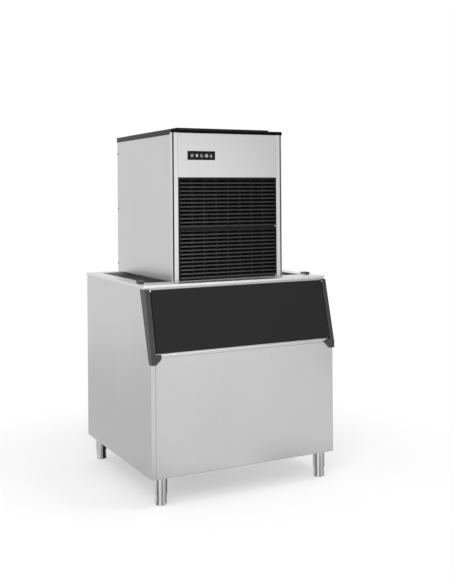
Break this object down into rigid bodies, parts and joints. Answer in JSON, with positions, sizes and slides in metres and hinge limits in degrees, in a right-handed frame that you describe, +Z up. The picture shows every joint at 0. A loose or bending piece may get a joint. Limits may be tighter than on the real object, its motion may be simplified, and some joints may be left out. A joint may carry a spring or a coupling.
{
  "type": "nugget ice machine",
  "caption": "Ice-making head with louvred front grille and small display, seated on an insulated storage bin with a sloped lift-up door and round legs.",
  "frame": {"origin": "on the floor under the centre of the machine's footprint", "axes": "+Z up, the door and grille face -Y, +X to the right seen from the front"},
  "size_m": [0.908, 0.875, 1.6],
  "materials": {
    "stainless": "brushed stainless sheet",
    "polished": "bright turned stainless",
    "galvanised": "dull zinc-coated sheet",
    "aluminium": "satin anodised extrusion",
    "fins": "bare fin stock",
    "copper": "drawn copper pipe",
    "brass": "turned brass",
    "cast": "grey painted casting",
    "black_paint": "satin black enamel",
    "black_door": "smooth satin black moulding",
    "black_trim": "fine-textured dark grey moulding",
    "black_grille": "satin black moulding",
    "black_lid": "fine-textured black moulding",
    "display": "glossy black window",
    "board": "green circuit board",
    "liner": "smooth light grey moulding",
    "white_plastic": "natural white moulding",
    "foam": "rigid foam",
    "rubber": "soft black rubber"
  },
  "bodies": {
    "cabinet": {"bin_side_panel_left": "stainless", "bin_side_panel_right": "stainless", "bin_front_panel": "stainless", "bin_back_panel": "galvanised", "bin_base": "galvanised", "bin_liner": "liner", "bin_insulation": "foam", "bin_rim": "stainless", "front_header": "stainless", "door_surround": "stainless", "knee_strip": "stainless", "door_trim_left": "black_trim", "door_trim_right": "black_trim", "hinge_pins": "polished", "guide_blocks": "black_trim", "guide_clips": "stainless", "bin_drain": "white_plastic", "head_tray": "galvanised", "corner_post_left": "aluminium", "corner_post_right": "aluminium", "head_side_panel_left": "stainless", "head_side_panel_right": "stainless", "head_back_panel": "galvanised", "head_face_panel": "stainless", "display_glass": "display", "display_board": "board", "grille_upper": "black_grille", "grille_lower": "black_grille", "head_lid": "black_lid", "gear_motor": "cast", "freezer_barrel": "polished", "freezer_jacket": "foam", "extruder_head": "brass", "outlet_hood": "white_plastic", "ice_chute": "white_plastic", "condenser": "fins", "fan_shroud": "galvanised", "fan_motor": "cast", "compressor": "black_paint", "compressor_mounts": "rubber", "refrigerant_lines": "copper", "filter_drier": "copper", "control_box": "galvanised", "water_tank": "white_plastic", "float_pin": "polished", "panel_screws": "polished", "water_port": "brass", "drain_port": "brass", "power_port": "black_trim", "legs": "polished"},
    "door": {"door_skin": "black_door", "door_insert": "liner", "door_gasket": "rubber"},
    "auger_screw": {"auger": "polished"},
    "fan_wheel": {"fan": "black_trim"},
    "float_lever": {"float_arm": "white_plastic"},
    "front_left_foot": {"foot_front_left": "polished"},
    "front_right_foot": {"foot_front_right": "polished"},
    "rear_left_foot": {"foot_rear_left": "polished"},
    "rear_right_foot": {"foot_rear_right": "polished"}
  },
  "joints": [
    {"name": "door_hinge", "type": "hinge", "parent": "cabinet", "child": "door", "pos_m": [0, -0.36609, 0.8944], "axis": [-1, 0, 0], "range_deg": [0, 95]},
    {"name": "auger_spin", "type": "hinge", "parent": "cabinet", "child": "auger_screw", "pos_m": [0.151, 0.1541, 1.0695], "axis": [0, 0, 1], "continuous": true},
    {"name": "fan_spin", "type": "hinge", "parent": "cabinet", "child": "fan_wheel", "pos_m": [-0.105, -0.1675, 1.1345], "axis": [0, 1, 0], "continuous": true},
    {"name": "float_pivot", "type": "hinge", "parent": "cabinet", "child": "float_lever", "pos_m": [0.228, 0.3441, 1.2275], "axis": [1, 0, 0], "range_deg": [-38, 0]},
    {"name": "front_left_level", "type": "slide", "parent": "cabinet", "child": "front_left_foot", "axis": [0, 0, -1], "range_m": [-0.015, 0.025]},
    {"name": "front_right_level", "type": "slide", "parent": "cabinet", "child": "front_right_foot", "axis": [0, 0, -1], "range_m": [-0.015, 0.025]},
    {"name": "rear_left_level", "type": "slide", "parent": "cabinet", "child": "rear_left_foot", "axis": [0, 0, -1], "range_m": [-0.015, 0.025]},
    {"name": "rear_right_level", "type": "slide", "parent": "cabinet", "child": "rear_right_foot", "axis": [0, 0, -1], "range_m": [-0.015, 0.025]}
  ]
}
